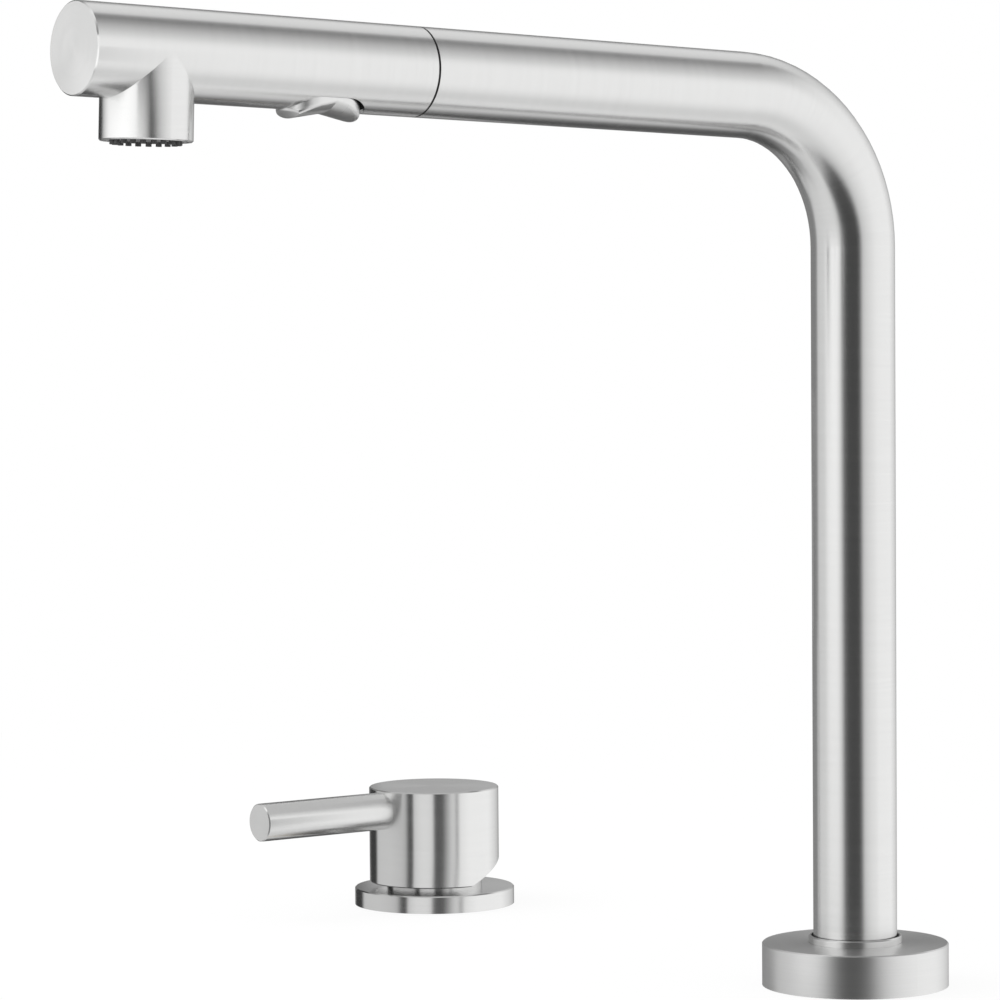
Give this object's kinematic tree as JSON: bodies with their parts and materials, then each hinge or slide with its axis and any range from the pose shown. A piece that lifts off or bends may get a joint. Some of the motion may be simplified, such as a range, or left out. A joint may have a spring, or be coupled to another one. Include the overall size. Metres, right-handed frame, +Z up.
{
  "type": "under-window kitchen tap",
  "caption": "Under-window kitchen tap: a lift-out swivelling spout with a pull-out spray head, and a separate single-lever mixer beside it.",
  "frame": {"origin": "centre of the base flange's foot, on the worktop's top face", "axes": "+Z up along the spout column; -Y forwards, the way the arm and the lever's rod point; the mixer valve stands towards -X"},
  "size_m": [0.306, 0.3298, 0.399],
  "materials": {
    "satin_steel": "satin brushed stainless steel",
    "plain_steel": "plain turned steel",
    "brass": "turned",
    "rubber": "matt black",
    "silicone": "dark grey silicone",
    "black_plastic": "matt black",
    "grey_plastic": "satin grey",
    "white_plastic": "natural acetal",
    "hose_cover": "braided nylon cover",
    "ceramic": "lapped"
  },
  "bodies": {
    "deck_unit": {"base_flange": "satin_steel", "flange_seal": "rubber", "spout_socket": "satin_steel", "slide_bush": "black_plastic", "stop_pin": "plain_steel", "spout_rubber_washer": "rubber", "spout_steel_washer": "plain_steel", "spout_backnut": "brass", "spout_clamp_screws": "plain_steel", "valve_rosette": "satin_steel", "rosette_seal": "rubber", "valve_body": "satin_steel", "valve_rubber_washer": "rubber", "valve_steel_washer": "plain_steel", "valve_backnut": "brass", "valve_clamp_screws": "plain_steel", "cartridge_seal": "rubber", "cartridge_housing": "white_plastic", "fixed_disc": "ceramic", "cartridge_nut": "brass"},
    "swivel": {"swivel_ring": "black_plastic"},
    "spout": {"spout_tube": "satin_steel", "hose_grommet": "rubber", "hose_riser": "hose_cover", "hose_tail": "brass", "dock_sleeve": "black_plastic"},
    "spray_head": {"spray_body": "satin_steel", "spray_end_cap": "satin_steel", "spray_spigot": "brass", "hose_pull_run": "hose_cover", "hose_nut": "brass", "hose_washer": "rubber", "check_valve": "white_plastic", "water_channel": "black_plastic", "toggle_pin": "plain_steel", "outlet_ring": "black_plastic", "nozzle_mat": "silicone", "nozzle_plate": "grey_plastic", "aerator": "grey_plastic"},
    "toggle": {"toggle": "satin_steel"},
    "diverter": {"diverter_spool": "white_plastic", "spool_seals": "rubber"},
    "carrier": {"stem_carrier": "white_plastic", "stem_pin": "plain_steel"},
    "lever": {"cartridge_stem": "brass", "lever_cap": "satin_steel", "lever_rod": "satin_steel", "grub_screw": "plain_steel", "screw_plug": "grey_plastic"},
    "mixing_disc": {"moving_disc": "ceramic", "disc_carriage": "white_plastic"}
  },
  "joints": [
    {"name": "spout_swivel", "type": "hinge", "parent": "deck_unit", "child": "swivel", "pos_m": [0, 0, 0], "axis": [0, 0, 1], "range_deg": [-75, 75]},
    {"name": "spout_lift", "type": "slide", "parent": "swivel", "child": "spout", "axis": [0, 0, 1], "range_m": [0, 0.06]},
    {"name": "spray_pull", "type": "slide", "parent": "spout", "child": "spray_head", "axis": [0, -0.9994, 0.0349], "range_m": [0, 0.1]},
    {"name": "toggle_rock", "type": "hinge", "parent": "spray_head", "child": "toggle", "pos_m": [0, -0.21205, 0.297], "axis": [1, 0, 0], "range_deg": [0, 9]},
    {"name": "spool_slide", "type": "slide", "parent": "spray_head", "child": "diverter", "axis": [0, -0.9994, 0.0349], "range_m": [0, 0.001]},
    {"name": "lever_turn", "type": "hinge", "parent": "deck_unit", "child": "carrier", "pos_m": [-0.2445, 0, 0.02], "axis": [0, 0, 1], "range_deg": [-50, 50]},
    {"name": "lever_tilt", "type": "hinge", "parent": "carrier", "child": "lever", "pos_m": [-0.2445, 0, 0.02], "axis": [-1, 0, 0], "range_deg": [0, 25]},
    {"name": "disc_slide", "type": "slide", "parent": "carrier", "child": "mixing_disc", "axis": [0, -1, 0], "range_m": [0, 0.0051]}
  ],
  "couplings": [
    {"joint": "spool_slide", "follows": "toggle_rock", "m_per_rad": 0.0055},
    {"joint": "disc_slide", "follows": "lever_tilt", "m_per_rad": 0.0115}
  ]
}
